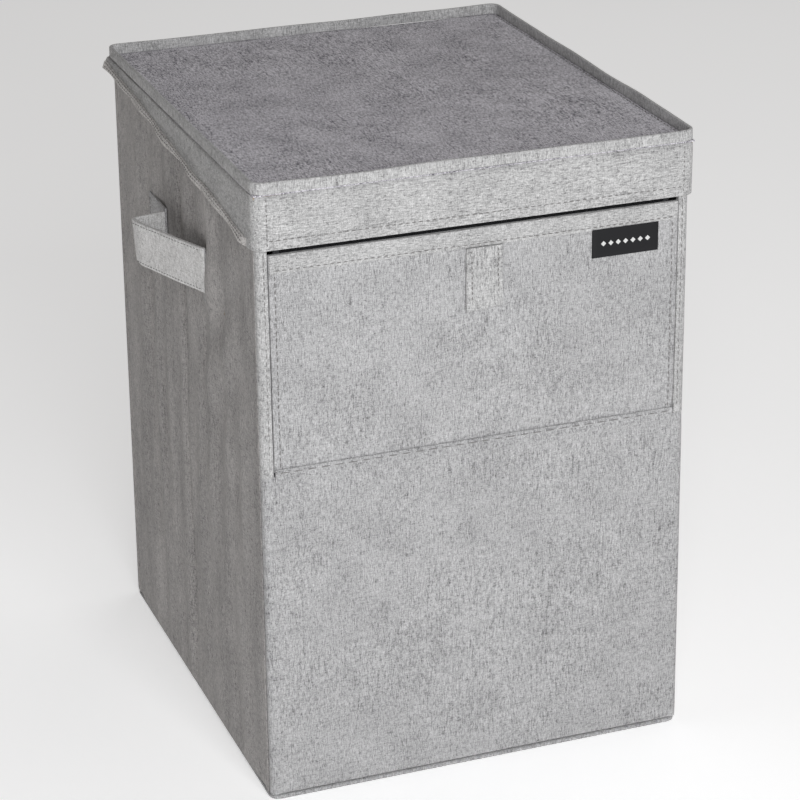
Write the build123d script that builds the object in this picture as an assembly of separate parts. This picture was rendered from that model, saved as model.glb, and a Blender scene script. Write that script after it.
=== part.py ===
"""A folding, cloth-covered laundry hamper with a hinged lid and a drop-down front flap.

Every wall is a stiff board in a cloth cover with a lining inside. Origin: the centre of the
underside. +X is the hamper's right, +Y its back, +Z up. Units: millimetres.
"""
import os

from build123d import *

# Overall sizes
HEIGHT = 450.0
BODY_WIDTH = 306.0
BODY_DEPTH = 345.0
LID_WIDTH = 311.0
LID_DEPTH = 353.2

# Layers of a wall, from the outside in
CLOTH = 1.2
BOARD = 2.6
LINING = 1.2
WALL = CLOTH + BOARD + LINING
COVER_RIM = 2.5  # width of the cover that wraps round a board's edge
CORNER_RADIUS = 4.5

# Clearances at the folds
FOLD_GAP = 0.4  # between a side panel and the wall that it folds against
CREASE_GAP = 0.4  # between the two halves of a side

# Heights
BASE_SKIN = 0.8
BASE_TOP = 4.0
WALL_BOTTOM = 4.5
WALL_TOP = 437.0
FOLD_LINE = 244.5  # top of the fixed lower front, where the flap hinges
FLAP_BOTTOM = 245.3
FLAP_TOP = 399.7
RAIL_BOTTOM = 404.0
HEM_EDGE = 387.0  # lower edge of the flap's folded hem

# Front flap
FLAP_HALF_WIDTH = 145.0
STILE_INSIDE = 145.5
RAIL_HALF_WIDTH = 145.3
FLAP_CLOTH = 1.0
FLAP_BOARD = 1.7
FLAP_LINING = 0.8
HEM_THICKNESS = 0.6
HEM_HALF_WIDTH = 144.6
TAPE_THICKNESS = 0.6
TAPE_HALF_WIDTH = 136.0
FACING_HALF_WIDTH = 140.0
FACING_THICKNESS = 1.2
FACING_BOTTOM = 386.0
TAPE_BOTTOM = 388.0
LOOP_TAPE_TOP = 403.6
LOOP_TAPE_THICKNESS = 0.7

# Pull tab and woven label, both tucked under the flap's hem
TAB_CENTRE_X = 4.0
TAB_WIDTH = 26.0
TAB_LENGTH = 43.8
TAB_THICKNESS = 2.0
TAB_CLEARANCE = 0.2
LABEL_CENTRE_X = 105.75
LABEL_WIDTH = 48.5
LABEL_HEIGHT = 19.5
LABEL_THICKNESS = 0.4

# Lid
LID_LINING_BOTTOM = 437.5
LID_BOARD_BOTTOM = 438.3
LID_BOARD_TOP = 441.3
LID_TOP = 442.5
LID_SEAM_THICKNESS = 2.0
SKIRT_BOTTOM = 404.5
SKIRT_BOARD_BOTTOM = 407.0
SKIRT_REAR_BOTTOM = 433.5
FRONT_SKIRT_THICKNESS = 3.4
SIDE_SKIRT_THICKNESS = 1.6
SKIRT_INNER = 0.6
LID_BINDING_BOTTOM = 437.3
LID_BACK_EDGE = 173.5
HINGE_CLOTH_BOTTOM = 405.0
HINGE_CLOTH_TOP = 436.0
HINGE_CLOTH_HALF_WIDTH = 148.0

# Handles: a sewn strap on each side, standing off the wall
STRAP_HEIGHT = 35.0
STRAP_THICKNESS = 2.4
STRAP_BOTTOM = 331.5
STRAP_REACH = 28.0
STRAP_REAR_Y = 35.0
STRAP_APEX_Y = 27.0
STRAP_FRONT_Y = -72.0
STRAP_APEX_RADIUS = 7.0
ANCHOR_LENGTH = 40.0
FRONT_ANCHOR_LENGTH = 14.0
ANCHOR_MARGIN = 1.5
ANCHOR_THICKNESS = 1.2

half_width = BODY_WIDTH / 2
half_depth = BODY_DEPTH / 2
lid_half_width = LID_WIDTH / 2
lid_half_depth = LID_DEPTH / 2
side_end = half_depth - WALL - FOLD_GAP
crease = CREASE_GAP / 2


def block(x, y, z):
    """A box that fills the three (low, high) ranges."""
    size = [high - low for low, high in (x, y, z)]
    centre = [(high + low) / 2 for low, high in (x, y, z)]
    return Pos(*centre) * Box(*size)


def layers_from(outside, inward, thicknesses):
    """The (low, high) range of each layer, stacked inward from the outside face."""
    ranges = []
    face = outside
    for thickness in thicknesses:
        next_face = face + inward * thickness
        ranges.append((min(face, next_face), max(face, next_face)))
        face = next_face
    return ranges


def shrunk(span, margin):
    """The span with a margin taken off both ends."""
    return (span[0] + margin, span[1] - margin)


def save(name, shape):
    """Names one piece and writes it as its own file."""
    shape.label = name
    export_step(shape, f"parts/{name}.step")


def make_side_panel(name, side, y):
    """One half of a side: cover, board and lining. side is -1 on the left and 1 on the right."""
    z = (WALL_BOTTOM, WALL_TOP)
    skin, core, inner = layers_from(side * half_width, -side, (CLOTH, BOARD, LINING))
    pocket = block(core, shrunk(y, COVER_RIM), shrunk(z, COVER_RIM))
    cover_x = (min(skin[0], core[0]), max(skin[1], core[1]))
    save(f"{name}_cloth", block(cover_x, y, z) - pocket)
    save(f"{name}_board", pocket)
    save(f"{name}_lining", block(inner, y, z))


def make_cross_wall(name, facing, z):
    """A wall across the hamper, with rounded outer corners. facing is -1 at the front, 1 behind."""
    x = (-half_width, half_width)
    skin, core, inner = layers_from(facing * half_depth, -facing, (CLOTH, BOARD, LINING))
    cover_y = (min(skin[0], core[0]), max(skin[1], core[1]))
    cover = block(x, (min(cover_y[0], inner[0]), max(cover_y[1], inner[1])), z)
    outer = cover.edges().filter_by(Axis.Z).group_by(Axis.Y)[0 if facing < 0 else -1]
    rounded = fillet(outer, CORNER_RADIUS)
    pocket = block(shrunk(x, COVER_RIM), core, shrunk(z, COVER_RIM))
    lining = block(shrunk(x, COVER_RIM), inner, z)
    save(f"{name}_cloth", rounded - pocket - lining)
    save(f"{name}_board", pocket)
    save(f"{name}_lining", lining)


def make_base():
    """The floor: a shallow cloth tray, the lift-out board in it and the lining over both."""
    x = (-half_width, half_width)
    y = (-half_depth, half_depth)
    outline = block(x, y, (0, BASE_TOP - BASE_SKIN))
    tray = fillet(outline.edges().filter_by(Axis.Z), CORNER_RADIUS)
    board_z = (BASE_SKIN, BASE_TOP - BASE_SKIN)
    board = block(shrunk(x, COVER_RIM), shrunk(y, COVER_RIM), board_z)
    save("base_cloth", tray - board)
    save("base_board", board)
    save("base_lining", block(shrunk(x, 1), shrunk(y, 1), (BASE_TOP - BASE_SKIN, BASE_TOP)))


def make_front_frame():
    """The fixed upper front round the flap: two stiles, the rail over it and the facing behind."""
    y = (-half_depth, -half_depth + WALL)
    z = (FOLD_LINE, WALL_TOP)
    for name, side in (("left_stile", -1), ("right_stile", 1)):
        x = sorted((side * STILE_INSIDE, side * half_width))
        stile = block(x, y, z)
        corner = stile.edges().filter_by(Axis.Z).sort_by(Axis.Y)[:2].sort_by(Axis.X)
        save(name, fillet(corner[0 if side < 0 else -1], CORNER_RADIUS))
    save("front_top_rail", block((-RAIL_HALF_WIDTH, RAIL_HALF_WIDTH), y, (RAIL_BOTTOM, WALL_TOP)))
    facing_y = (y[1], y[1] + FACING_THICKNESS)
    facing_x = (-FACING_HALF_WIDTH, FACING_HALF_WIDTH)
    save("closure_facing", block(facing_x, facing_y, (FACING_BOTTOM, WALL_TOP)))
    tape_y = (y[1] - LOOP_TAPE_THICKNESS, y[1])
    tape_x = (-TAPE_HALF_WIDTH, TAPE_HALF_WIDTH)
    save("closure_loop_tape", block(tape_x, tape_y, (TAPE_BOTTOM, LOOP_TAPE_TOP)))


def make_flap():
    """The drop-down flap: cover, board, lining, folded hem, hook tape and woven label."""
    x = (-FLAP_HALF_WIDTH, FLAP_HALF_WIDTH)
    z = (FLAP_BOTTOM, FLAP_TOP)
    outside = -half_depth
    stack = (FLAP_CLOTH, FLAP_BOARD, FLAP_LINING, TAPE_THICKNESS)
    skin, core, inner, tape = layers_from(outside, 1, stack)
    board = block(shrunk(x, COVER_RIM), core, shrunk(z, COVER_RIM))
    save("flap_cloth", block(x, (skin[0], core[1]), z) - board)
    save("flap_board", board)
    save("flap_lining", block(x, inner, z))
    hem_x = (-HEM_HALF_WIDTH, HEM_HALF_WIDTH)
    save("flap_hem", block(hem_x, (outside - HEM_THICKNESS, outside), (HEM_EDGE, FLAP_TOP)))
    tape_x = (-TAPE_HALF_WIDTH, TAPE_HALF_WIDTH)
    save("closure_hook_tape", block(tape_x, tape, (TAPE_BOTTOM, FLAP_TOP - 1)))
    label_x = (LABEL_CENTRE_X - LABEL_WIDTH / 2, LABEL_CENTRE_X + LABEL_WIDTH / 2)
    label_y = (outside - LABEL_THICKNESS, outside)
    save("woven_label", block(label_x, label_y, (HEM_EDGE - LABEL_HEIGHT, HEM_EDGE)))


def make_pull_tab():
    """The doubled cloth tab that opens the flap, free to lift from its sewn upper edge."""
    x = (TAB_CENTRE_X - TAB_WIDTH / 2, TAB_CENTRE_X + TAB_WIDTH / 2)
    back = -half_depth - TAB_CLEARANCE
    top = HEM_EDGE - TAB_CLEARANCE
    tab = block(x, (back - TAB_THICKNESS, back), (top - TAB_LENGTH, top))
    save("pull_tab", fillet(tab.edges().filter_by(Axis.Y).group_by(Axis.Z)[0], 2.0))


def make_lid_panel():
    """The lid's flat part: cover, board and lining, with a raised seam along each edge."""
    inside_x = lid_half_width - LID_SEAM_THICKNESS
    inside_y = lid_half_depth - LID_SEAM_THICKNESS
    top_z = (LID_BOARD_TOP, LID_TOP)
    save("lid_top_cloth", block((-inside_x, inside_x), (-inside_y, inside_y), top_z))
    x = (-lid_half_width + SIDE_SKIRT_THICKNESS, lid_half_width - SIDE_SKIRT_THICKNESS)
    y = (-lid_half_depth + FRONT_SKIRT_THICKNESS, LID_BACK_EDGE)
    save("lid_board", block(x, y, (LID_BOARD_BOTTOM, LID_BOARD_TOP)))
    save("lid_lining", block(x, y, (LID_LINING_BOTTOM, LID_BOARD_BOTTOM)))
    seam_z = (LID_BOARD_TOP, HEIGHT)
    full_x = (-lid_half_width, lid_half_width)
    save("lid_front_seam", block(full_x, (-lid_half_depth, -inside_y), seam_z))
    save("lid_rear_seam", block(full_x, (inside_y, lid_half_depth), seam_z))
    save("lid_left_seam", block((-lid_half_width, -inside_x), (-inside_y, inside_y), seam_z))
    save("lid_right_seam", block((inside_x, lid_half_width), (-inside_y, inside_y), seam_z))
    binding_z = (LID_BINDING_BOTTOM, LID_BOARD_TOP)
    save("lid_rear_binding", block(full_x, (LID_BACK_EDGE, lid_half_depth), binding_z))


def make_lid_skirt():
    """The lid's hanging rim: deep and stiffened in front, tapering to the back on both sides."""
    front = -lid_half_depth
    stiffener = FRONT_SKIRT_THICKNESS - CLOTH - SKIRT_INNER
    skin, core, inner = layers_from(front, 1, (CLOTH, stiffener, SKIRT_INNER))
    x = (-lid_half_width, lid_half_width)
    save("lid_front_skirt_cloth", block(x, skin, (SKIRT_BOTTOM, LID_BOARD_TOP)))
    save("lid_front_skirt_board", block(x, core, (SKIRT_BOARD_BOTTOM, LID_BOARD_TOP)))
    save("lid_front_skirt_lining", block(x, inner, (SKIRT_BOARD_BOTTOM, LID_BOARD_TOP)))
    y0 = front + FRONT_SKIRT_THICKNESS
    outline = Polyline(
        (y0, LID_BOARD_TOP),
        (y0, SKIRT_BOTTOM),
        (LID_BACK_EDGE, SKIRT_REAR_BOTTOM),
        (LID_BACK_EDGE, LID_BOARD_TOP),
        close=True,
    )
    taper = extrude(Plane.YZ * make_face(outline), SIDE_SKIRT_THICKNESS)
    save("lid_left_skirt", Pos(X=-lid_half_width) * taper)
    save("lid_right_skirt", Pos(X=lid_half_width - SIDE_SKIRT_THICKNESS) * taper)


def make_handle(name, side):
    """A strap sewn to both halves of a side, in two halves that meet over the crease."""
    wall = side * half_width
    middle = STRAP_THICKNESS / 2
    near = wall + side * (ANCHOR_THICKNESS + middle)
    far = wall + side * (STRAP_REACH - middle)
    route = FilletPolyline(
        (near, STRAP_REAR_Y),
        (far, STRAP_APEX_Y),
        (near, STRAP_FRONT_Y),
        radius=STRAP_APEX_RADIUS,
    )
    section = Plane(origin=route @ 0, z_dir=route % 0) * Rectangle(STRAP_THICKNESS, STRAP_HEIGHT)
    strap = Pos(Z=STRAP_BOTTOM + STRAP_HEIGHT / 2) * sweep(section, path=route)
    reach = (-2 * STRAP_REACH + wall, 2 * STRAP_REACH + wall)
    z = (STRAP_BOTTOM - ANCHOR_MARGIN, STRAP_BOTTOM + STRAP_HEIGHT + ANCHOR_MARGIN)
    rear_half = block(reach, (crease, 2 * STRAP_REAR_Y), z)
    front_half = block(reach, (2 * STRAP_FRONT_Y, -crease), z)
    save(f"{name}_handle_rear", strap & rear_half)
    save(f"{name}_handle_front", strap & front_half)
    patch_x = sorted((wall, wall + side * ANCHOR_THICKNESS))
    rear_y = (STRAP_REAR_Y - STRAP_THICKNESS, STRAP_REAR_Y + ANCHOR_LENGTH)
    front_y = (STRAP_FRONT_Y - ANCHOR_MARGIN, STRAP_FRONT_Y + FRONT_ANCHOR_LENGTH)
    save(f"{name}_handle_rear_patch", block(patch_x, rear_y, z))
    save(f"{name}_handle_front_patch", block(patch_x, front_y, z))


def make_hinge_cloth():
    """The strip sewn to the back wall that the lid folds on."""
    x = (-HINGE_CLOTH_HALF_WIDTH, HINGE_CLOTH_HALF_WIDTH)
    y = (half_depth, half_depth + BASE_SKIN)
    save("lid_hinge_cloth", block(x, y, (HINGE_CLOTH_BOTTOM, HINGE_CLOTH_TOP)))


os.makedirs("parts", exist_ok=True)
make_base()
make_cross_wall("rear", 1, (WALL_BOTTOM, WALL_TOP))
make_cross_wall("front_lower", -1, (WALL_BOTTOM, FOLD_LINE))
for side_name, side in (("left", -1), ("right", 1)):
    make_side_panel(f"{side_name}_rear_side", side, (crease, side_end))
    make_side_panel(f"{side_name}_front_side", side, (-side_end, -crease))
    make_handle(side_name, side)
make_front_frame()
make_flap()
make_pull_tab()
make_hinge_cloth()
make_lid_panel()
make_lid_skirt()
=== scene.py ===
"""A folding, cloth-covered laundry hamper with a hinged lid, a drop-down flap and strap handles."""
import math

import bpy
from mathutils import Matrix, Vector, noise


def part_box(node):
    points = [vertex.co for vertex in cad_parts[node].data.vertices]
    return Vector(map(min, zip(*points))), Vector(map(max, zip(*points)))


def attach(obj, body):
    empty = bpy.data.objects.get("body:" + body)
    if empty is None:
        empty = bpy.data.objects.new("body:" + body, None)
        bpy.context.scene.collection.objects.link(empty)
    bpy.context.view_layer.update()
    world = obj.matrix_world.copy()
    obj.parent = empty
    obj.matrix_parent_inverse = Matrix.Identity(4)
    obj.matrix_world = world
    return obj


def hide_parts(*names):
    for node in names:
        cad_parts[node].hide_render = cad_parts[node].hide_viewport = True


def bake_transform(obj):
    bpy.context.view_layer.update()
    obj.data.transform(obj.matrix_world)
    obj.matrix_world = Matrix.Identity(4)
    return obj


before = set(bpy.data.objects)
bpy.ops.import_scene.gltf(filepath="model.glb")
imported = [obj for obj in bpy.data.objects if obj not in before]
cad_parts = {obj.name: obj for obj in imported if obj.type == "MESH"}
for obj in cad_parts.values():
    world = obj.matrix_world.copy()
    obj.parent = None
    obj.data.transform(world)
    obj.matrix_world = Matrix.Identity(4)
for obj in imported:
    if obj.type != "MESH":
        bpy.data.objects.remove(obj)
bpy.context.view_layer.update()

MM = 0.001
CLOSE = 1e-6

# The setting. A pale floor in a bright room, one soft light in front and a little to the left, a
# weaker one over the back, and a long lens that looks down on the hamper's front left edge.


class Reading:
    """A number or colour that varies over a finish. Sums on it add maths nodes."""

    def __init__(self, finish, socket):
        self.finish = finish
        self.socket = socket

    def calc(self, operation, *others):
        inputs = dict(enumerate((self, *others)))
        return self.finish.node("ShaderNodeMath", {"operation": operation}, inputs)

    def __add__(self, other):
        return self.calc("ADD", other)

    def __sub__(self, other):
        return self.calc("SUBTRACT", other)

    def __rsub__(self, other):
        return self.finish.node("ShaderNodeMath", {"operation": "SUBTRACT"}, {0: other, 1: self})

    def __mul__(self, other):
        return self.calc("MULTIPLY", other)

    __radd__ = __add__
    __rmul__ = __mul__

    def wave(self, period):
        """-1 to 1 and back over each period."""
        return (self * (math.tau / period)).calc("SINE")

    def between(self, low, high):
        """0 below low, 1 above high, and smooth in between."""
        settings = {"interpolation_type": "SMOOTHSTEP"}
        inputs = {"Value": self, "From Min": low, "From Max": high}
        return self.finish.node("ShaderNodeMapRange", settings, inputs)


class Finish:
    """One material, mixed from nodes on its Principled surface."""

    def __init__(self, name, roughness=0.9, sheen=0.0):
        self.material = bpy.data.materials.new(name)
        self.material.use_nodes = True
        self.tree = self.material.node_tree
        self.surface = self.tree.nodes["Principled BSDF"]
        self.surface.inputs["Roughness"].default_value = roughness
        self.surface.inputs["Sheen Weight"].default_value = sheen
        self.surface.inputs["Specular IOR Level"].default_value = 0.25

    def node(self, kind, settings=None, inputs=None, output=0):
        """Adds a node, sets it, feeds its sockets and gives one output."""
        made = self.tree.nodes.new(kind)
        for name, value in (settings or {}).items():
            setattr(made, name, value)
        for name, value in (inputs or {}).items():
            self.feed(made.inputs[name], value)
        return Reading(self, made.outputs[output])

    def feed(self, socket, value):
        """Links a reading to a socket, or sets the socket to a plain value."""
        if isinstance(value, Reading):
            self.tree.links.new(value.socket, socket)
        else:
            socket.default_value = value

    def place(self, stretch=(1, 1, 1), shift=(0, 0, 0)):
        """Where a point is on the hamper, stretched along each axis."""
        at = self.node("ShaderNodeTexCoord", output="Object")
        return self.node(
            "ShaderNodeMapping", {}, {"Vector": at, "Scale": stretch, "Location": shift}
        )

    def cloud(self, stretch, detail=2.0, shift=(0, 0, 0)):
        """Soft random patches, about 0.5, as many to the metre as stretch says."""
        inputs = {"Vector": self.place(stretch, shift), "Scale": 1.0, "Detail": detail}
        return self.node("ShaderNodeTexNoise", {}, inputs)

    def tint(self, amount, low, high):
        """The colour low where amount is 0 and high where it is 1."""
        inputs = {0: amount, 6: (*low, 1), 7: (*high, 1)}
        return self.node("ShaderNodeMix", {"data_type": "RGBA"}, inputs, 2)

    def paint(self, colour, roughness=None, height=None, depth=0.0002, strength=1.0):
        """Feeds the surface its colour, its roughness and its relief."""
        self.feed(self.surface.inputs["Base Color"], colour)
        if roughness is not None:
            self.feed(self.surface.inputs["Roughness"], roughness)
        if height is not None:
            inputs = {"Height": height, "Distance": depth, "Strength": strength}
            self.feed(self.surface.inputs["Normal"], self.node("ShaderNodeBump", {}, inputs))
        return self.material


def floor_finish():
    """Matt white studio floor."""
    floor = Finish("studio_floor", roughness=0.95)
    floor.surface.inputs["Emission Color"].default_value = (1, 1, 1, 1)
    floor.surface.inputs["Emission Strength"].default_value = 0.42
    return floor.paint(floor.tint(floor.cloud((3, 3, 3)), (0.88, 0.88, 0.88), (0.92, 0.92, 0.92)))


def light(name, place, aim, size, power, colour=(1, 1, 1)):
    """A square soft light that looks at aim."""
    bpy.ops.object.light_add(type="AREA", location=place)
    lamp = bpy.context.object
    lamp.name = name
    lamp.data.size = size
    lamp.data.energy = power
    lamp.data.color = colour
    lamp.rotation_euler = (Vector(aim) - Vector(place)).to_track_quat("-Z", "Y").to_euler()


bpy.ops.mesh.primitive_plane_add(size=14, location=(0, 0, -0.0004))
floor = bpy.context.object
floor.name = "studio_floor"
floor.data.materials.append(floor_finish())
light("front_light", (-0.22, -1.6, 0.98), (0, 0, 0.26), 0.85, 19.5, (0.97, 0.985, 1))
light("top_light", (0.9, 0.6, 2.6), (0, 0, 0.3), 1.6, 10)

room = bpy.data.worlds.new("bright_room")
room.use_nodes = True
room.node_tree.nodes["Background"].inputs["Color"].default_value = (1, 0.95, 0.92, 1)
room.node_tree.nodes["Background"].inputs["Strength"].default_value = 0.14
bpy.context.scene.world = room
bpy.context.scene.view_settings.view_transform = "Standard"

EYE = Vector((-0.646, -1.777, 1.008))
AIM = Vector((0.0073, 0, 0.2084))
TILT = math.radians(-0.66)
bpy.ops.object.camera_add(location=EYE)
camera = bpy.context.object
camera.name = "camera"
camera.data.lens = 125.5
turn = (AIM - EYE).to_track_quat("-Z", "Y").to_matrix() @ Matrix.Rotation(TILT, 3, "Z")
camera.rotation_euler = turn.to_euler()
bpy.context.scene.camera = camera

# The base. A cloth tray sewn to the foot of the walls, its edge rolled over the stiffener and its
# corners round, with the lift-out board and its charcoal lining in it.

CLOTH_LIGHT = (0.64, 0.636, 0.64)
CLOTH_DARK = (0.07, 0.068, 0.07)
WEAVE_PERIOD = 1.1 * MM
FLECKS_ACROSS = 1250
FLECKS_ALONG = 260
base_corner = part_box("base_cloth")[1]
WIDE = base_corner.x
DEEP = base_corner.y
BASE_TALL = 3.2 * MM
WALL_TALL = 0.437
FULLEST = 2.0 * MM


def woven_cloth(name, run, light_yarn=CLOTH_LIGHT, dark_yarn=CLOTH_DARK, slubs=1, contrast=1, painted_fold_shade=0):
    """Plain-woven linen-look cloth whose dark slubs run along X, Y or Z, with optional soft bands of
    painted fold shade in its colour.
    """
    cloth = Finish(name, roughness=0.92, sheen=0.12)
    axis = "XYZ".index(run)

    def along(many, few):
        return [few if i == axis else many for i in range(3)]

    def across(many, few):
        return [many if i == axis else few for i in range(3)]

    fleck = cloth.cloud(along(FLECKS_ACROSS, FLECKS_ALONG), 3).between(0.32, 0.78)
    slub = cloth.cloud(along(620, 60), 2, (7, 3, 5)).between(0.52, 0.74)
    weft = cloth.cloud(across(900, 260), 2, (2, 9, 4)).between(0.4, 0.8)
    grain = cloth.cloud((1250, 1250, 1250), 2)
    nep = cloth.cloud(along(520, 190), 2, (1, 6, 8)).between(0.63, 0.74)
    mottle = cloth.cloud((38, 38, 38), 3, (4, 4, 4)).between(0.3, 0.7)
    dark = fleck * 0.55 + slub * 0.2 * slubs + weft * 0.3 + nep * 0.18 + mottle * 0.12
    dark = dark + (grain - 0.5) * 1.3 - 0.11
    dark = (dark - 0.24) * (0.74 * contrast) + 0.42
    # Painted shade: soft darker and lighter bands along the run stand in for the shading of loose folds.
    if painted_fold_shade:
        dark = dark + (cloth.cloud(along(48, 7), 3, (3, 3, 3)) - 0.5) * painted_fold_shade
    parts = cloth.node("ShaderNodeSeparateXYZ", {}, {0: cloth.place()}).socket.node.outputs
    at = [Reading(cloth, parts[i]) for i in range(3)]
    sideways = at[axis - 1] + at[axis - 2]
    weave = sideways.wave(WEAVE_PERIOD) * at[axis].wave(WEAVE_PERIOD)
    height = weave * 0.5 + fleck * 0.5 - slub * 0.5 + grain * 0.8
    rough = 0.88 + fleck * 0.08
    return cloth.paint(cloth.tint(dark, light_yarn, dark_yarn), rough, height, 0.00022, 0.55)


WALL_CLOTH = woven_cloth("wall_cloth", "Z")
# The side walls' cloth is the wall cloth painted darker and warmer as painted shade, for sides that face
# away from the front light, with painted fold shade in upright bands.
SHADED_SIDE_CLOTH = woven_cloth("side_cloth", "Z", (0.585, 0.56, 0.545), CLOTH_DARK, 1, 1, 0.45)
LINING_LIGHT = (0.085, 0.085, 0.09)
LINING_DARK = (0.035, 0.035, 0.038)


def felted_lining():
    """Charcoal non-woven lining: matted fibres with rows of tiny heat bonds."""
    felt = Finish("charcoal_lining", roughness=0.96, sheen=0.1)
    fibre = felt.cloud((900, 900, 900), 4).between(0.35, 0.65)
    clump = felt.cloud((120, 120, 120), 3)
    parts = felt.node("ShaderNodeSeparateXYZ", {}, {0: felt.place()}).socket.node.outputs
    across = Reading(felt, parts[0]) + Reading(felt, parts[1])
    bond = (across.wave(0.003) * Reading(felt, parts[2]).wave(0.003)).between(0.7, 0.95)
    dark = fibre * 0.5 + clump * 0.4 + bond * 0.4
    height = fibre * 0.6 - bond * 0.8
    return felt.paint(felt.tint(dark, LINING_LIGHT, LINING_DARK), 0.97 - bond * 0.2, height, 0.0002, 0.6)


def pulp_board():
    """Grey-brown pressed board with flecks of pulp."""
    board = Finish("pulp_board", roughness=0.85)
    pulp = board.cloud((260, 260, 60), 4).between(0.3, 0.7)
    chip = board.cloud((700, 700, 500), 2, (5, 5, 5)).between(0.62, 0.7)
    colour = board.tint(pulp * 0.7 + chip * 0.3, (0.38, 0.31, 0.23), (0.24, 0.19, 0.14))
    return board.paint(colour, 0.8 + pulp * 0.12, pulp * 0.5 + chip, 0.0002, 0.5)


LINING = felted_lining()
BOARD = pulp_board()


def choose(piece, test):
    """Opens a piece in edit mode with the edges selected whose middle passes the test."""
    mesh = piece.data
    bpy.context.tool_settings.mesh_select_mode = (False, True, False)
    for group in (mesh.vertices, mesh.edges, mesh.polygons):
        group.foreach_set("select", [False] * len(group))
    for edge in mesh.edges:
        first, last = (mesh.vertices[i] for i in edge.vertices)
        if test((first.co + last.co) / 2, (last.co - first.co).normalized()):
            edge.select = first.select = last.select = True
    bpy.ops.object.mode_set(mode="EDIT")


def round_edges(piece, test, radius, segments=3):
    """Rounds the edges that pass the test."""
    choose(piece, test)
    bpy.ops.mesh.bevel(offset=radius, offset_type="OFFSET", segments=segments, affect="EDGES")
    bpy.ops.object.mode_set(mode="OBJECT")


def box_piece(name, low, high):
    """A plain box to start from, at its size and place."""
    bpy.ops.object.select_all(action="DESELECT")
    low, high = Vector(low), Vector(high)
    bpy.ops.mesh.primitive_cube_add(size=1, location=(low + high) / 2, scale=high - low)
    bpy.ops.object.transform_apply()
    piece = bpy.context.object
    piece.name = name
    return piece


def cut_up(piece, steps):
    """Cuts a piece across every so many metres along X, Y and Z, so that its cloth can wave."""
    points = [v.co.copy() for v in piece.data.vertices]
    bpy.ops.object.mode_set(mode="EDIT")
    for axis, step in enumerate(steps):
        if not step:
            continue
        low = min(p[axis] for p in points)
        high = max(p[axis] for p in points)
        count = max(1, round((high - low) / step))
        for i in range(1, count):
            normal = [0, 0, 0]
            normal[axis] = 1
            place = [0, 0, 0]
            place[axis] = low + (high - low) * i / count
            bpy.ops.mesh.select_all(action="SELECT")
            bpy.ops.mesh.bisect(plane_co=place, plane_no=normal)
    bpy.ops.object.mode_set(mode="OBJECT")


def finish_modifier(piece, kind, **settings):
    """Adds a modifier to a piece, sets it and applies it."""
    modifier = piece.modifiers.new(kind.lower(), kind)
    for name, value in settings.items():
        setattr(modifier, name, value)
    bpy.ops.object.modifier_apply(modifier=modifier.name)


def thicken(piece, thickness, offset):
    """Gives a single sheet its cloth's thickness."""
    finish_modifier(piece, "SOLIDIFY", thickness=thickness, offset=offset)


def soften(piece, width, segments):
    """Rounds every sharp edge a little."""
    angle = math.radians(60)
    finish_modifier(
        piece, "BEVEL", width=width, segments=segments, limit_method="ANGLE", angle_limit=angle
    )


def face_outward():
    """Turns the faces of the closed piece in hand outward."""
    bpy.ops.object.mode_set(mode="EDIT")
    bpy.ops.mesh.select_all(action="SELECT")
    bpy.ops.mesh.normals_make_consistent(inside=False)
    bpy.ops.object.mode_set(mode="OBJECT")


def reshape(piece, move):
    """Pushes every point of a piece's mesh as a hand would, by what move gives for it."""
    for vertex in piece.data.vertices:
        vertex.co += Vector(move(vertex.co))
    piece.data.update()


def finish_piece(piece, material, body, nodes=(), smooth=35):
    """Smooths a piece, gives it its material and slot, and sets the body that it rides on."""
    bpy.ops.object.select_all(action="DESELECT")
    piece.select_set(True)
    bpy.context.view_layer.objects.active = piece
    bpy.ops.object.shade_smooth_by_angle(angle=math.radians(smooth))
    piece.data.materials.clear()
    piece.data.materials.append(material)
    if nodes:
        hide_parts(*nodes)
    if body:
        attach(piece, body)
    return piece


def ripple(point, size, height, seed=0.0):
    """The smooth random rise and fall of cloth, with waves about size across."""
    return height * noise.noise(Vector(point) / size + Vector((seed, seed, seed)))


def is_upright(direction):
    """Whether an edge runs up and down."""
    return abs(direction.z) > 0.9


def flare(z):
    """How far the walls lean out at a height: the cloth is fullest near the foot."""
    rise = min(max(z / WALL_TALL, 0), 1)
    return FULLEST * (1 - rise) - 2.2 * MM * max(0, 1 - z / 0.007) ** 2


def soft_slab(node, material, body, round_by, wave=0.25 * MM, step=0.02):
    """A padded or doubled sheet that lies where its solid lies, with soft edges and a slight wave."""
    low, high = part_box(node)
    piece = box_piece(node + "_soft", low, high)
    cut_up(piece, [step if high[i] - low[i] > 2 * step else 0 for i in range(3)])
    size = [high[i] - low[i] for i in range(3)]
    thin = size.index(min(size))
    ends = [(low[i], high[i]) for i in range(3)]

    def outline(middle, direction):
        touching = sum(min(abs(middle[i] - e) for e in ends[i]) < CLOSE for i in range(3))
        return touching >= 2

    round_edges(piece, outline, round_by, 2)

    def wave_move(point):
        push = [0, 0, 0]
        push[thin] = ripple(point, 0.06, wave, thin)
        return push

    reshape(piece, wave_move)
    return finish_piece(piece, material, body, [node])


base = box_piece("base_cover", (-WIDE, -DEEP, 0), (WIDE, DEEP, BASE_TALL))
round_edges(base, lambda middle, run: is_upright(run), 7 * MM, 6)
round_edges(base, lambda middle, run: not is_upright(run), 1.2 * MM, 3)
reshape(base, lambda p: (p.x * 0.011, p.y * 0.009, 0))
finish_piece(base, WALL_CLOTH, "root", ["base_cloth"])
soft_slab("base_lining", LINING, "root", 0.3 * MM, 0.1 * MM, 0.03)
soft_slab("base_board", BOARD, "root", 0.3 * MM, 0)

# The four walls. Each is a stiff board in a cloth cover that is rolled over its edges. The cover is
# looser than the board, so it waves a little, is fullest near the foot, and on the sides it is drawn
# in along the crease where the hamper folds.

WALL_FOOT = 4.3 * MM
COVER_STEP = 7 * MM


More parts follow.
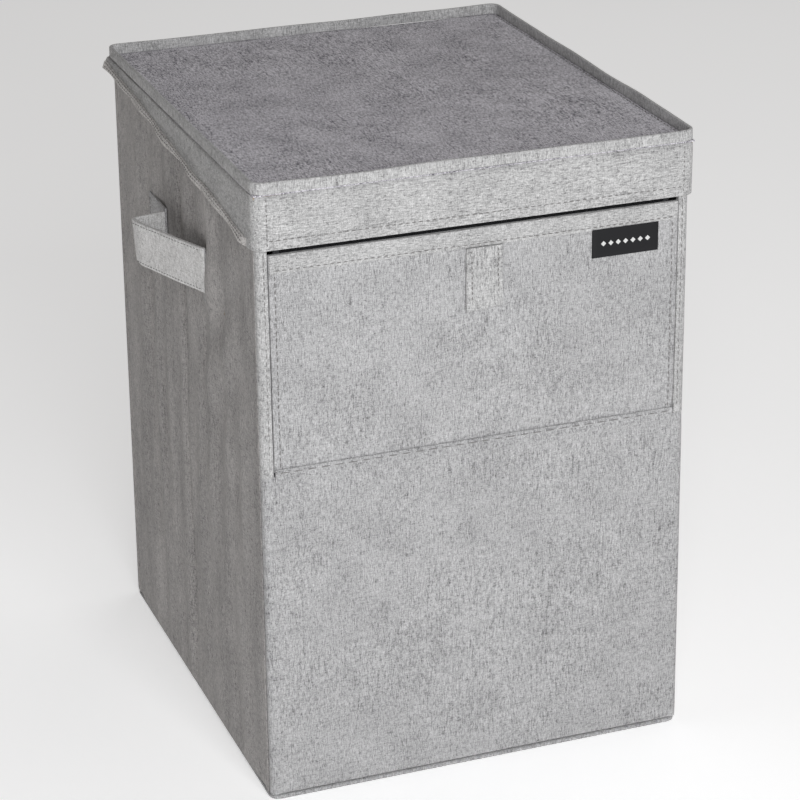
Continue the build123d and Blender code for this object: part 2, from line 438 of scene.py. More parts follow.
def wall_cover(name, low, high, facing, corner, bulge):
    """A wall's cloth cover: a box cut into small squares, rounded at its edges and let out."""
    piece = box_piece(name, low, high)
    axis = 0 if abs(facing[0]) else 1
    steps = [COVER_STEP, COVER_STEP / 2, COVER_STEP]
    steps[axis] = 0
    cut_up(piece, steps)
    outer = Vector(facing)
    face = max((Vector(low)[axis] * outer[axis], Vector(high)[axis] * outer[axis]))
    other = 1 - axis
    ends = (Vector(low)[other], Vector(high)[other])
    levels = (Vector(low).z, Vector(high).z)

    def on_face(middle):
        return abs(middle[axis] * outer[axis] - face) < CLOSE

    def at_end(middle):
        return min(abs(middle[other] - end) for end in ends) < CLOSE

    def at_level(middle):
        return min(abs(middle.z - level) for level in levels) < CLOSE

    if corner:
        round_edges(piece, lambda m, run: on_face(m) and at_end(m) and is_upright(run), corner, 5)
    round_edges(piece, lambda m, run: on_face(m) and at_level(m) and not is_upright(run), 1.2 * MM, 2)

    def let_out(point):
        depth = min(1, max(0, 1 - (face - point[axis] * outer[axis]) / (3 * MM)))
        push = outer * (flare(point.z) + bulge(point) * depth)
        if outer.y < 0:
            push *= near_fold(point)
        push[other] = point[other] * 0.011 * (1 - point.z / WALL_TALL) * abs(outer.y)
        return push

    reshape(piece, let_out)
    return piece


FOLD_LEVEL = 0.245
FOLD_REACH = 16 * MM


def near_fold(point):
    """0 at the flap's fold and 1 away from it, so that the doubled cloth has room to turn."""
    return min(1, abs(point.z - FOLD_LEVEL) / FOLD_REACH)


def front_wave(point):
    """The slight waves of cloth drawn over a flat board."""
    return ripple(point, 0.09, 0.5 * MM, 3) + ripple(point, 0.035, 0.25 * MM, 8)


def side_drape(point):
    """The side cover's fullness: drawn in at the crease, with upright folds under the lid."""
    y, z = point.y, point.z
    edge = max(0, 1 - (abs(y) / 0.161) ** 6)
    crease = math.exp(-((y / 0.0045) ** 2))
    loose = 1.9 * MM * edge * (1 - 0.4 * z / WALL_TALL)
    high = max(0, (z - 0.24) / 0.2) ** 1.5
    under_lid = min(1, max(0, (0.4365 - z) / 0.04))
    calm = min(1, z / 0.04) * under_lid
    folds = math.sin(y / 0.0135 + 2.2 * noise.noise(Vector((0, y * 9, z * 5)))) * 1.7 * MM * high
    creases = ripple((0, y * 2.6, z * 0.35), 0.05, 3.4 * MM, 5)
    pull = 2.0 * MM * math.exp(-(((y + 0.09) / 0.06) ** 2) - ((z - 0.31) / 0.09) ** 2)
    pull *= math.sin((y * 0.8 + z) / 0.011)
    drawn_in = crease * 3.0 * MM * (0.3 + 0.7 * calm)
    return loose * (0.4 + 0.6 * under_lid) + edge * calm * (folds + creases + pull) - drawn_in


wall_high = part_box("rear_cloth")[1]
SHELL = 3.8 * MM
COVER_DEPTH = 4.6 * MM
CORNER = 4.4 * MM
rear = wall_cover(
    "rear_cover",
    (-WIDE, DEEP - COVER_DEPTH, WALL_FOOT),
    (WIDE, DEEP, wall_high.z),
    (0, 1, 0),
    CORNER,
    front_wave,
)
finish_piece(rear, WALL_CLOTH, "root", ["rear_cloth"])
front_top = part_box("front_lower_cloth")[1].z
front = wall_cover(
    "front_lower_cover",
    (-WIDE, -DEEP, WALL_FOOT),
    (WIDE, -DEEP + COVER_DEPTH, front_top),
    (0, -1, 0),
    CORNER,
    front_wave,
)
finish_piece(front, WALL_CLOTH, "front_wall", ["front_lower_cloth"])
SIDE_END = DEEP - 10.5 * MM
for hand, name in ((-1, "left"), (1, "right")):
    x = sorted((hand * WIDE, hand * (WIDE - SHELL)))
    side = wall_cover(
        f"{name}_side_cover",
        (x[0], -SIDE_END, WALL_FOOT),
        (x[1], SIDE_END, wall_high.z),
        (hand, 0, 0),
        0,
        side_drape,
    )
    nodes = [f"{name}_rear_side_cloth", f"{name}_front_side_cloth"]
    finish_piece(side, SHADED_SIDE_CLOTH, None, nodes)
    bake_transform(side)
    for end, wall in ((1, "root"), (-1, "front_wall")):
        y = sorted((end * SIDE_END, end * (DEEP - COVER_DEPTH)))
        place = "rear" if end > 0 else "front"
        low, high = (x[0], y[0], WALL_FOOT), (x[1], y[1], wall_high.z)
        strip = box_piece(f"{name}_{place}_corner", low, high)
        cut_up(strip, [0, 2 * MM, COVER_STEP])
        reshape(strip, lambda p, hand=hand: (hand * (flare(p.z) + 0.3 * MM), 0, 0))
        panel = f"{name}_{place}_side"
        if (hand, end) == (1, -1):
            finish_piece(strip, SHADED_SIDE_CLOTH, panel)
        else:
            finish_piece(strip, SHADED_SIDE_CLOTH, None)
            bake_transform(strip)
    for end in ("rear", "front"):
        body = f"{name}_{end}_side"
        soft_slab(f"{body}_lining", LINING, body, 0.3 * MM, 0.15 * MM, 0.03)
        soft_slab(f"{body}_board", BOARD, body, 0.3 * MM, 0)
for wall, body in (("rear", "root"), ("front_lower", "front_wall")):
    soft_slab(f"{wall}_lining", LINING, body, 0.3 * MM, 0.15 * MM, 0.03)
    soft_slab(f"{wall}_board", BOARD, body, 0.3 * MM, 0)

# The front frame. Two stitched stiles stand beside the flap, a rail crosses over it behind the
# lid's rim, and a facing behind the flap's top carries the black loop tape.

EDGE_LIGHT = (0.71, 0.705, 0.70)
# Painted light: the handle's pale yarn is near white, so that straps facing sideways, away from the front
# light, look as lit as the front.
HANDLE_PAINTED_LIT_YARN = (0.99, 0.985, 0.98)
THREAD_LIGHT = (0.33, 0.32, 0.315)
STITCH_PITCH = 4.6 * MM
STITCH_LENGTH = 3.3 * MM
THREAD_WIDE = 0.75 * MM
THREAD_TALL = 0.7 * MM
EDGE_CLOTH = woven_cloth("edge_cloth", "Z", EDGE_LIGHT, slubs=0.6)
SKIRT_CLOTH = woven_cloth("skirt_cloth", "X", EDGE_LIGHT, slubs=0.8)
# The handle straps' cloth: the edge cloth's weave painted far lighter as painted light.
LIT_HANDLE_CLOTH = woven_cloth("lit_handle_cloth", "Z", HANDLE_PAINTED_LIT_YARN, (0.3, 0.29, 0.28), 0.7)


def twisted_thread(name, light_shade, dark_shade):
    """Matt two-ply sewing thread, its twist as slanting dark lines."""
    thread = Finish(name, roughness=0.7, sheen=0.1)
    parts = thread.node("ShaderNodeSeparateXYZ", {}, {0: thread.place()}).socket.node.outputs
    slant = Reading(thread, parts[0]) + Reading(thread, parts[1]) + Reading(thread, parts[2])
    ply = slant.wave(0.0009) * 0.5 + 0.5
    colour = thread.tint(ply * 0.6 + thread.cloud((300, 300, 300)) * 0.4, light_shade, dark_shade)
    return thread.paint(colour, 0.65 + ply * 0.2, ply, 0.0001, 0.5)


def hook_and_loop():
    """Black closure tape: a dense pile of tiny loops and hooks."""
    tape = Finish("closure_tape", roughness=0.9, sheen=0.05)
    pile = tape.cloud((1400, 1400, 1400), 2).between(0.4, 0.7)
    colour = tape.tint(pile, (0.006, 0.006, 0.007), (0.025, 0.025, 0.027))
    return tape.paint(colour, 0.85 + pile * 0.1, pile, 0.0005, 0.9)


RAIL_FOOT = 0.402
THREAD = twisted_thread("grey_thread", THREAD_LIGHT, (0.13, 0.125, 0.12))
TAPE = hook_and_loop()


def stitches(name, first, last, facing, body, pitch=STITCH_PITCH, length=STITCH_LENGTH):
    """A row of stitches from first to last: one thread loop, repeated, half sunk into the cloth."""
    first, last, facing = Vector(first), Vector(last), Vector(facing)
    span = last - first
    count = max(2, int(span.length / pitch))
    bpy.ops.object.select_all(action="DESELECT")
    bpy.ops.mesh.primitive_uv_sphere_add(segments=6, ring_count=5, radius=0.5)
    row = bpy.context.object
    row.name = name
    row.scale = (length, THREAD_WIDE, THREAD_TALL)
    bpy.ops.object.transform_apply()
    repeat = row.modifiers.new("repeat", "ARRAY")
    repeat.count = count
    repeat.use_relative_offset = False
    repeat.use_constant_offset = True
    repeat.constant_offset_displace = (span.length / count, 0, 0)
    bpy.ops.object.modifier_apply(modifier=repeat.name)
    along = span.normalized()
    up = facing.normalized()
    axes = Matrix((along, up.cross(along), up)).transposed().to_4x4()
    row.matrix_world = Matrix.Translation(first + span / count / 2) @ axes
    bpy.ops.object.transform_apply()
    finish_piece(row, THREAD, body, smooth=60)
    return row


for hand, name in ((-1, "left"), (1, "right")):
    low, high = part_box(f"{name}_stile")
    stile = box_piece(f"{name}_stile_cover", low, high)
    cut_up(stile, [0, 0, COVER_STEP])
    edge = hand * WIDE
    round_edges(
        stile,
        lambda m, run, edge=edge: is_upright(run) and abs(m.x - edge) < CLOSE and m.y < -DEEP + MM,
        CORNER,
        5,
    )
    inside = low.x if hand > 0 else high.x
    round_edges(
        stile,
        lambda m, run, inside=inside: is_upright(run) and abs(m.x - inside) < CLOSE and m.y < -DEEP + MM,
        0.9 * MM,
        2,
    )
    reshape(
        stile,
        lambda p, hand=hand: (
            hand * flare(p.z) * (abs(p.x) - 0.1455) / 0.0075,
            -flare(p.z) * 0.5 + ripple(p, 0.03, 0.35 * MM, 2),
            0,
        ),
    )
    finish_piece(stile, EDGE_CLOTH, "front_wall", [f"{name}_stile"])
    x = hand * 148.2 * MM
    stitches(
        f"{name}_stile_stitches",
        (x, -DEEP - 0.3 * MM, FOLD_LEVEL + 5 * MM),
        (x, -DEEP - 0.1 * MM, RAIL_FOOT),
        (0, -1, 0),
        "front_wall",
    )
soft_slab("front_top_rail", EDGE_CLOTH, "front_wall", 0.9 * MM, 0.2 * MM)
soft_slab("closure_facing", LINING, "front_wall", 0.3 * MM, 0.05 * MM)
soft_slab("closure_loop_tape", TAPE, "front_wall", 0.15 * MM, 0.05 * MM)

# The flap. A board in its cloth cover that drops forward on a stitched fold, with a folded hem
# along its top, black hook tape inside the hem, and the small woven label tucked under it.

HEM_CLOTH = woven_cloth("hem_cloth", "X", EDGE_LIGHT, slubs=0.5)
flap_low, flap_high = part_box("flap_cloth")
hem_low, hem_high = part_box("flap_hem")
flap_foot = flap_low.z + 1.7 * MM
flap = box_piece("flap_cover", (flap_low.x, flap_low.y, flap_foot), flap_high)
cut_up(flap, [COVER_STEP, 0, COVER_STEP])
round_edges(
    flap,
    lambda m, run: m.y < flap_low.y + CLOSE
    and (
        (is_upright(run) and abs(m.x) > flap_high.x - CLOSE)
        or (not is_upright(run) and (m.z > flap_high.z - CLOSE or m.z < flap_foot + CLOSE))
    ),
    1.0 * MM,
    3,
)


def flap_wave(point):
    """The flap's face waves a little, and is tucked in near its fold."""
    outer = 1 if point.y < flap_low.y + 1.2 * MM else 0
    full = near_fold(point)
    tuck = 0.7 * MM * (1 - full) * outer
    wave = outer * full * (front_wave(point) * 0.9 - 0.15 * MM)
    return (0, -flare(point.z) * 0.5 * full + wave + tuck, 0)


reshape(flap, flap_wave)
finish_piece(flap, WALL_CLOTH, "front_flap", ["flap_cloth"])
hem = box_piece(
    "flap_hem_fold",
    (hem_low.x, hem_low.y - 0.5 * MM, hem_low.z),
    (hem_high.x, hem_high.y + 0.6 * MM, hem_high.z + 0.3 * MM),
)
cut_up(hem, [COVER_STEP, 0, 4 * MM])
round_edges(
    hem,
    lambda m, run: m.y < hem_low.y - 0.4 * MM
    and (abs(m.x) > hem_high.x - CLOSE or m.z > hem_high.z or m.z < hem_low.z + CLOSE),
    0.5 * MM,
    2,
)
reshape(hem, lambda p: (0, ripple(p, 0.03, 0.3 * MM, 6), ripple((p.x, 0, 0), 0.05, 0.5 * MM, 1)))
finish_piece(hem, HEM_CLOTH, "front_flap", ["flap_hem"])
FLAP_FACE = flap_low.y - 0.9 * MM
HEM_FACE = hem_low.y - 0.55 * MM
HEM_STITCHES = 0.3893
stitches(
    "hem_stitches",
    (hem_low.x + 3 * MM, HEM_FACE, HEM_STITCHES),
    (hem_high.x - 3 * MM, HEM_FACE, HEM_STITCHES),
    (0, -1, 0),
    "front_flap",
)
for hand, name in ((-1, "left"), (1, "right")):
    x = hand * 140.9 * MM
    stitches(
        f"flap_{name}_stitches",
        (x, FLAP_FACE - 0.1 * MM, 0.250),
        (x, FLAP_FACE + 0.3 * MM, 0.3865),
        (0, -1, 0),
        "front_flap",
    )
soft_slab("flap_board", BOARD, "front_flap", 0.3 * MM, 0)
soft_slab("flap_lining", LINING, "front_flap", 0.25 * MM, 0.05 * MM, 0.03)
soft_slab("closure_hook_tape", TAPE, "front_flap", 0.15 * MM, 0.05 * MM)

FOLD_HALF_WIDE = 0.1445
FOLD_HALF_TALL = 4.5 * MM
fold = box_piece(
    "flap_fold_cloth",
    (-FOLD_HALF_WIDE, -DEEP - 1.6 * MM, FOLD_LEVEL - FOLD_HALF_TALL),
    (FOLD_HALF_WIDE, -DEEP + 0.6 * MM, FOLD_LEVEL + FOLD_HALF_TALL),
)
cut_up(fold, [COVER_STEP, 0, 0.75 * MM])


def fold_groove(point):
    """The fold is pressed in along its line, and its long stitches sit in the groove."""
    level = (point.z - FOLD_LEVEL) / (1.5 * MM)
    edge = abs(point.z - FOLD_LEVEL) / FOLD_HALF_TALL
    if point.y > -DEEP:
        return (0, 0, 0)
    return (0, 0.9 * MM * math.exp(-level * level) + 0.9 * MM * edge**3 + 0.2 * front_wave(point), 0)


reshape(fold, fold_groove)
finish_piece(fold, WALL_CLOTH, None)
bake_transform(fold)
FOLD_STITCHES = 0.2473
stitches(
    "fold_stitches",
    (-0.143, -DEEP - 1.55 * MM, FOLD_STITCHES),
    (0.143, -DEEP - 1.55 * MM, FOLD_STITCHES),
    (0, -1, 0),
    "front_flap",
    9.5 * MM,
    7 * MM,
)

LABEL_BLACK = (0.006, 0.006, 0.007)
label_low, label_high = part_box("woven_label")


def satin_label():
    """Black satin-woven label, its fine ribs running across."""
    satin = Finish("black_satin_label", roughness=0.6)
    parts = satin.node("ShaderNodeSeparateXYZ", {}, {0: satin.place()}).socket.node.outputs
    rib = Reading(satin, parts[2]).wave(0.0006) * 0.5 + 0.5
    fuzz = satin.cloud((900, 900, 900), 2)
    colour = satin.tint(rib * 0.4 + fuzz * 0.6, LABEL_BLACK, (0.014, 0.014, 0.016))
    return satin.paint(colour, 0.45 + fuzz * 0.25, rib, 0.00004, 0.3)


def pale_weft():
    """The pale weft that floats to the label's face in its pattern."""
    weft = Finish("pale_weft", roughness=0.6, sheen=0.1)
    fuzz = weft.cloud((1200, 1200, 600), 2)
    colour = weft.tint(fuzz, (0.80, 0.80, 0.79), (0.55, 0.55, 0.54))
    return weft.paint(colour, 0.5 + fuzz * 0.3, fuzz, 0.0001, 0.5)


LABEL_FACE = label_low.y - 1.2 * MM
label = box_piece(
    "label_cloth",
    (label_low.x, LABEL_FACE, label_low.z),
    (label_high.x, label_high.y, label_high.z + 0.6 * MM),
)
cut_up(label, [4 * MM, 0, 4 * MM])
round_edges(
    label,
    lambda m, run: m.y < label_low.y - MM
    and (m.x < label_low.x + CLOSE or m.x > label_high.x - CLOSE or m.z < label_low.z + CLOSE),
    0.3 * MM,
    2,
)
finish_piece(label, satin_label(), "front_flap", ["woven_label"])
WEFT = pale_weft()
label_middle = (label_low + label_high) / 2
LOZENGE = 1.3 * MM
for number in range(7):
    x = label_middle.x + (number - 3) * 5.4 * MM
    lozenge = box_piece(
        f"label_lozenge_{number + 1}",
        (-LOZENGE, LABEL_FACE - 0.15 * MM, -LOZENGE),
        (LOZENGE, LABEL_FACE + 0.1 * MM, LOZENGE),
    )
    lozenge.rotation_euler = (0, math.radians(45), 0)
    lozenge.location = (x, 0, label_middle.z)
    bpy.ops.object.transform_apply()
    finish_piece(lozenge, WEFT, "front_flap")

# The pull tab. Doubled cloth sewn under the hem, stitched down both sides.

STRAP_CLOTH = woven_cloth("strap_cloth", "Z", EDGE_LIGHT, slubs=0.9)
tab_low, tab_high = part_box("pull_tab")
tab = box_piece("pull_tab_cloth", tab_low, tab_high)
cut_up(tab, [2.2 * MM, 0, 2.2 * MM])
round_edges(
    tab,
    lambda m, run: abs(m.y - tab_low.y) < CLOSE
    and (m.x < tab_low.x + CLOSE or m.x > tab_high.x - CLOSE or m.z < tab_low.z + CLOSE),
    0.7 * MM,
    3,
)


def tab_hang(point):
    """The tab stands a little off at its foot and skews to one side as it hangs."""
    down = (tab_high.z - point.z) / (tab_high.z - tab_low.z)
    out = -2.6 * MM * down**2 + ripple(point, 0.012, 0.3 * MM, 4)
    return (-0.8 * MM * down, out, (point.x - tab_low.x) * 0.09 * down)


reshape(tab, tab_hang)
finish_piece(tab, STRAP_CLOTH, "pull_tab", ["pull_tab"])
for name, x in (("left", tab_low.x + 3.6 * MM), ("right", tab_high.x - 3.6 * MM)):
    stitches(
        f"tab_{name}_stitches",
        (x, tab_low.y - 0.1 * MM, tab_high.z - MM),
        (x - 0.8 * MM, tab_low.y - 2.4 * MM, tab_low.z + 4 * MM),
        (0, -1, 0.03),
        "pull_tab",
        3.4 * MM,
        2.5 * MM,
    )

# The lid. A board in cloth whose edge seams stand up as a stiff ridge round the flat top, with a
# hanging rim: stiffened in front, soft and tapering along both sides, its hem stitched twice.

# The lid top's cloth carries painted fold shade in soft bands along Y.
TOP_CLOTH = woven_cloth("lid_top_cloth", "Y", (0.78, 0.755, 0.80), (0.05, 0.045, 0.065), 0.8, 1.7, 0.25)
LID_ROUND = 8 * MM
ridge_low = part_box("lid_front_seam")[0]
ridge_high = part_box("lid_rear_seam")[1]
ridge = box_piece("lid_edge_ridge", (ridge_low.x, ridge_low.y, ridge_low.z + 0.9 * MM), ridge_high)
round_edges(ridge, lambda m, run: is_upright(run), LID_ROUND, 6)
bpy.context.tool_settings.mesh_select_mode = (False, False, True)
for face in ridge.data.polygons:
    face.select = abs(face.normal.z) > 0.9
bpy.ops.object.mode_set(mode="EDIT")
bpy.ops.mesh.inset(thickness=2.3 * MM, use_outset=False)
bpy.ops.mesh.bridge_edge_loops()
bpy.ops.object.mode_set(mode="OBJECT")
cut_up(ridge, [9 * MM, 9 * MM, 0])
soften(ridge, 0.9 * MM, 3)


def ridge_wave(point):
    """The stiff edge still wanders a little, and stands a little higher in places."""
    rise = (point.z - ridge_low.z) / 0.0087
    lift = ripple((point.x, point.y, 0), 0.06, 0.9 * MM, 5) * rise
    return (ripple(point, 0.05, 0.7 * MM, 3), ripple(point, 0.05, 0.7 * MM, 7), lift)


reshape(ridge, ridge_wave)
seams = ["lid_front_seam", "lid_rear_seam", "lid_left_seam", "lid_right_seam"]
finish_piece(ridge, EDGE_CLOTH, "lid", seams)

top_low, top_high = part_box("lid_top_cloth")
under_ridge = Vector((MM, MM, 0))
top = box_piece("lid_top_cover", top_low - under_ridge, top_high + under_ridge)
cut_up(top, [8 * MM, 8 * MM, 0])


def top_wave(point):
    """The top's face waves a little and dips where it is sewn under the ridge."""
    if point.z < top_high.z - CLOSE:
        return (0, 0, 0)
    rim = max(0, min(top_high.x - abs(point.x), top_high.y - abs(point.y)))
    groove = math.exp(-((rim / (4 * MM)) ** 2))
    return (0, 0, ripple(point, 0.08, 0.6 * MM, 1) - 0.5 * MM * groove)


reshape(top, top_wave)
finish_piece(top, TOP_CLOTH, "lid", ["lid_top_cloth"])


def hem_level(y):
    """The lower edge of the side rim: deep in front, rising to the back."""
    front_low, back_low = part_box("lid_left_skirt")[0].z, 0.4335
    share = (y + 0.173) / 0.346
    return front_low + (back_low - front_low) * share + ripple((0, y, 0), 0.06, 1.6 * MM, 2)


skirt_low, skirt_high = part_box("lid_front_skirt_cloth")
rim = box_piece("lid_rim", skirt_low, (skirt_high.x, ridge_high.y, skirt_high.z))
for face in rim.data.polygons:
    face.select = abs(face.normal.z) > 0.9 or face.normal.y > 0.9
bpy.context.tool_settings.mesh_select_mode = (False, False, True)
bpy.ops.object.mode_set(mode="EDIT")
bpy.ops.mesh.delete(type="FACE")
bpy.ops.object.mode_set(mode="OBJECT")
round_edges(rim, lambda m, run: is_upright(run) and m.y < 0, LID_ROUND, 6)
cut_up(rim, [7 * MM, 6 * MM, 2.3 * MM])


def side_lean(y, down, hand):
    """How far the side rim stands out: it flares to the back, waves, and is thick at its hem."""
    back = max(0, (y - 0.12) / 0.056) ** 2 * (1 if hand < 0 else 0.2)
    wave = ripple((0, y * 1.4, 0.2 * down), 0.05, 2.6 * MM, 9) * down
    height = skirt_high.z - hem_level(y)
    fold = 0.3 * MM if (1 - down) * height < 7.5 * MM else 0
    return down * (1.1 * MM + 2.2 * MM * back + wave) + fold * min(1, down * 3)


def rim_hang(point):
    """Straight in front; along the sides the hem rises to the back, waves and flares a little."""
    top_edge = skirt_high.z
    down = (top_edge - point.z) / (top_edge - skirt_low.z)
    hand = 1 if point.x > 0 else -1
    side = 0
    if abs(point.x) > skirt_high.x - LID_ROUND:
        side = min(1, max(0, (point.y - (skirt_low.y + 4 * MM)) / 0.02))
    level = skirt_low.z + side * (hem_level(point.y) - skirt_low.z)
    drop = (skirt_low.z - level) * -max(0, down)
    out = hand * side * side_lean(point.y, down, hand)
    groove = 1.8 * MM * math.exp(-(((point.z - top_edge) / (1.6 * MM)) ** 2))
    wave = ripple(point, 0.06, 0.5 * MM, 11)
    return (out - hand * groove * side, (groove + wave) * (1 - side), drop)


reshape(rim, rim_hang)
thicken(rim, 1.5 * MM, -1)
soften(rim, 0.5 * MM, 2)
skirts = ["lid_front_skirt_cloth", "lid_left_skirt", "lid_right_skirt"]
finish_piece(rim, SKIRT_CLOTH, "lid", skirts)
ROLL = 1.5 * MM
# Painted light: the side hem rolls are painted far lighter than the rim's cloth, standing in for the
# light their rolled edge catches from above.
LIT_SIDE_HEM_CLOTH = woven_cloth("lit_side_hem_cloth", "Y", (0.92, 0.89, 0.87), (0.16, 0.15, 0.14), 0.6)
HEM_TALL = 5.6 * MM
for hand, name in ((-1, "left"), (1, "right")):
    roll = box_piece(f"rim_{name}_hem_roll", (-0.9 * MM, -0.1655, 0), (ROLL, ridge_high.y - MM, HEM_TALL))
    cut_up(roll, [0, 6 * MM, 0])
    round_edges(roll, lambda m, run: m.x > ROLL - CLOSE and abs(run.y) > 0.9, 0.9 * MM, 4)
    round_edges(roll, lambda m, run: is_upright(run) and m.x > ROLL - CLOSE, 0.6 * MM, 2)

    def wrap_hem(point, hand=hand):
        level = hem_level(point.y)
        down = 1 - point.z / (skirt_high.z - level)
        ease = min(1, max(0, (point.y + 0.1655) / 0.01))
        thick = (point.x + 0.9 * MM) * (0.4 + 0.6 * ease)
        x = hand * (skirt_high.x - 0.9 * MM + side_lean(point.y, down, hand) * ease + thick)
        return (x - point.x, 0, level - 0.5 * MM)

    reshape(roll, wrap_hem)
    if hand < 0:
        face_outward()
    finish_piece(roll, LIT_SIDE_HEM_CLOTH, "lid")
FRONT_FACE = skirt_low.y - 0.15 * MM
RIM_STITCHES = 0.4110
front_first, front_last = (-0.146, FRONT_FACE, RIM_STITCHES), (0.146, FRONT_FACE, RIM_STITCHES)
stitches("rim_front_stitches", front_first, front_last, (0, -1, 0), "lid")
for hand, name in ((-1, "left"), (1, "right")):
    x = hand * 146.5 * MM
    stitches(
        f"rim_{name}_corner_stitches",
        (x, FRONT_FACE, 0.407),
        (x, FRONT_FACE, 0.440),
        (0, -1, 0),
        "lid",
        3.2 * MM,
        2.2 * MM,
    )
    for row, above in (("lower", 2.4 * MM), ("upper", 5.2 * MM)):
        thread = stitches(
            f"rim_{name}_{row}_stitches",
            (0, -0.160, 0),
            (0, 0.172, 0),
            (hand, 0, 0),
            "lid",
            4.2 * MM,
            3 * MM,
        )

        def follow_hem(point, hand=hand, above=above):
            level = hem_level(point.y)
            down = 1 - above / (skirt_high.z - level)
            out = skirt_high.x + side_lean(point.y, down, hand) + ROLL + 0.1 * MM
            return (hand * out, 0, level + above)

        reshape(thread, follow_hem)
    x = hand * (top_high.x - 2.4 * MM)
    stitches(
        f"top_{name}_stitches",
        (x, -0.168, top_high.z),
        (x, 0.168, top_high.z),
        (0, 0, 1),
        "lid",
        5 * MM,
        3.4 * MM,
    )
for kind, material in (("board", BOARD), ("lining", LINING)):
    node = f"lid_front_skirt_{kind}"
    low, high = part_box(node)
    inner_rim = box_piece(
        f"{node}_soft",
        (low.x + LID_ROUND, low.y + 0.5 * MM, low.z),
        (high.x - LID_ROUND, high.y, high.z),
    )
    finish_piece(inner_rim, material, "lid", [node])
soft_slab("lid_board", BOARD, "lid", 0.3 * MM, 0)
soft_slab("lid_lining", LINING, "lid", 0.25 * MM, 0.1 * MM, 0.03)
soft_slab("lid_rear_binding", EDGE_CLOTH, "lid", 0.9 * MM, 0.15 * MM)

# The lid's hinge. A strip of the same cloth sewn to the back wall and to the lid's rear edge.

hinge_low, hinge_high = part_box("lid_hinge_cloth")
hinge = box_piece("lid_hinge_strip", hinge_low, (hinge_high.x, hinge_high.y, 0.4405))
cut_up(hinge, [COVER_STEP, 0, 1.5 * MM])


def hinge_lean(point):
    """The strip leans back to the lid's edge as it rises."""
    rise = min(1, max(0, (point.z - 0.425) / 0.0155))
    return (0, 3.2 * MM * rise**2 + ripple(point, 0.04, 0.3 * MM, 2), 0)


reshape(hinge, hinge_lean)
finish_piece(hinge, EDGE_CLOTH, None, ["lid_hinge_cloth"])
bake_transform(hinge)

# The handles. A doubled strap on each side, sewn down behind and in front of the crease so that it
# stands off the wall for a hand.

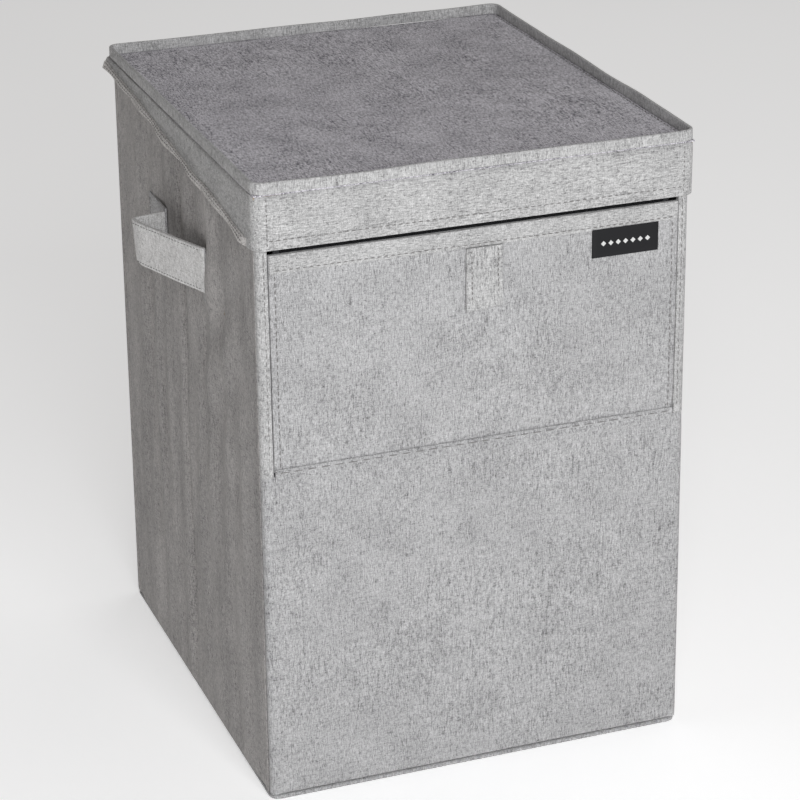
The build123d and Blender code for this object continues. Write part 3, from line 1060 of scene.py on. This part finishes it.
STRAP_THICK = 2.6 * MM
APEX = 27 * MM
PATCH_CLOTH = woven_cloth("patch_cloth", "Y", CLOTH_LIGHT, slubs=0.5)
for hand, name in ((-1, "left"), (1, "right")):
    low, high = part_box(f"{name}_handle_rear")
    wall = hand * WIDE
    far = hand * (max(abs(low.x), abs(high.x)) - STRAP_THICK / 2)
    near = wall + hand * 2.4 * MM
    middle_z = (low.z + high.z) / 2

    def route(y):
        """How far the strap's middle stands off at a place along its long front leg."""
        share = max(0, (APEX - y) / (APEX + 0.064))
        return hand * (179.8 - 24.4 * share**1.12) * MM

    points = [(near, 35.5 * MM)]
    points += [(near + (far - near) * s, (35.5 - 4.5 * s) * MM) for s in (0.3, 0.6, 0.85)]
    points += [(far + hand * 0.3 * MM, 29.5 * MM), (far, 26.5 * MM)]
    leg = (20, 13, 6, -1, -8, -16, -24, -32, -40, -47, -53, -58, -61)
    points += [(route(y * MM), y * MM) for y in leg]
    points += [(wall + hand * 2.2 * MM, -63 * MM)]
    bpy.ops.object.select_all(action="DESELECT")
    bpy.ops.mesh.primitive_plane_add(size=1, location=(0, 0, 0))
    strap = bpy.context.object
    strap.name = f"{name}_handle_strap"
    spots = [(points[0], low.z), (points[1], low.z), (points[0], high.z), (points[1], high.z)]
    for vertex, (spot, z) in zip(strap.data.vertices, spots):
        vertex.co = (spot[0], spot[1], z)
    for here, there in zip(points[1:], points[2:]):
        choose(strap, lambda m, run: is_upright(run) and (m.xy - Vector(here)).length < CLOSE)
        move = (there[0] - here[0], there[1] - here[1], 0)
        bpy.ops.mesh.extrude_region_move(TRANSFORM_OT_translate={"value": move})
        bpy.ops.object.mode_set(mode="OBJECT")
    cut_up(strap, [0, 0, 4 * MM])

    def crumple(point):
        """The strap tilts and climbs as it runs forward, and is a little crushed by use."""
        tilt = hand * (point.z - middle_z) / 14 * min(1, abs(point.x - wall) / (20 * MM))
        rise = 5 * MM * min(1, max(0, (APEX - point.y) / 0.09))
        narrow = (middle_z - point.z) * 0.07
        return (tilt + ripple(point, 0.03, 0.8 * MM, 3), 0, rise + narrow)

    reshape(strap, crumple)
    thicken(strap, STRAP_THICK, 0)
    soften(strap, 0.7 * MM, 2)
    face_outward()
    nodes = [f"{name}_handle_rear", f"{name}_handle_front"]
    finish_piece(strap, LIT_HANDLE_CLOTH, None, nodes)
    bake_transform(strap)
    for row, z in (("lower", low.z + 2.2 * MM), ("upper", high.z - 2.2 * MM)):
        thread = stitches(
            f"{name}_handle_{row}_stitches",
            (0, 25 * MM, z),
            (0, -59 * MM, z),
            (hand, 0, 0),
            None,
            3.6 * MM,
            2.6 * MM,
        )

        def follow_strap(point):
            middle = Vector((route(point.y), 0, 0))
            out = Vector((hand * (STRAP_THICK / 2 + 0.05 * MM), 0, 0))
            return middle + out + Vector(crumple(point + middle))

        reshape(thread, follow_strap)
        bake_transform(thread)
    for part in ("rear", "front"):
        body = f"{name}_{part}_side"
        low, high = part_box(f"{name}_handle_{part}_patch")
        outside = max(abs(low.x), abs(high.x))
        patch = box_piece(f"{name}_handle_{part}_anchor", low, high)
        cut_up(patch, [0, 5 * MM, 5 * MM])

        def edge_of_patch(m, run):
            ends = (m.y - low.y, high.y - m.y, m.z - low.z, high.z - m.z)
            return abs(m.x) > outside - CLOSE and min(ends) < CLOSE

        round_edges(patch, edge_of_patch, 0.5 * MM, 2)
        reshape(patch, lambda p: (hand * (1.6 * MM + ripple(p, 0.02, 0.3 * MM, 5)), 0, 0))
        finish_piece(patch, PATCH_CLOTH, body, [f"{name}_handle_{part}_patch"])
        face = hand * (outside + 1.7 * MM)
        y = low.y + 2.2 * MM if part == "front" else high.y - 2.2 * MM
        stitches(
            f"{name}_handle_{part}_anchor_stitches",
            (face, y, low.z + 3 * MM),
            (face, y, high.z - 3 * MM),
            (hand, 0, 0),
            body,
            3.4 * MM,
            2.4 * MM,
        )
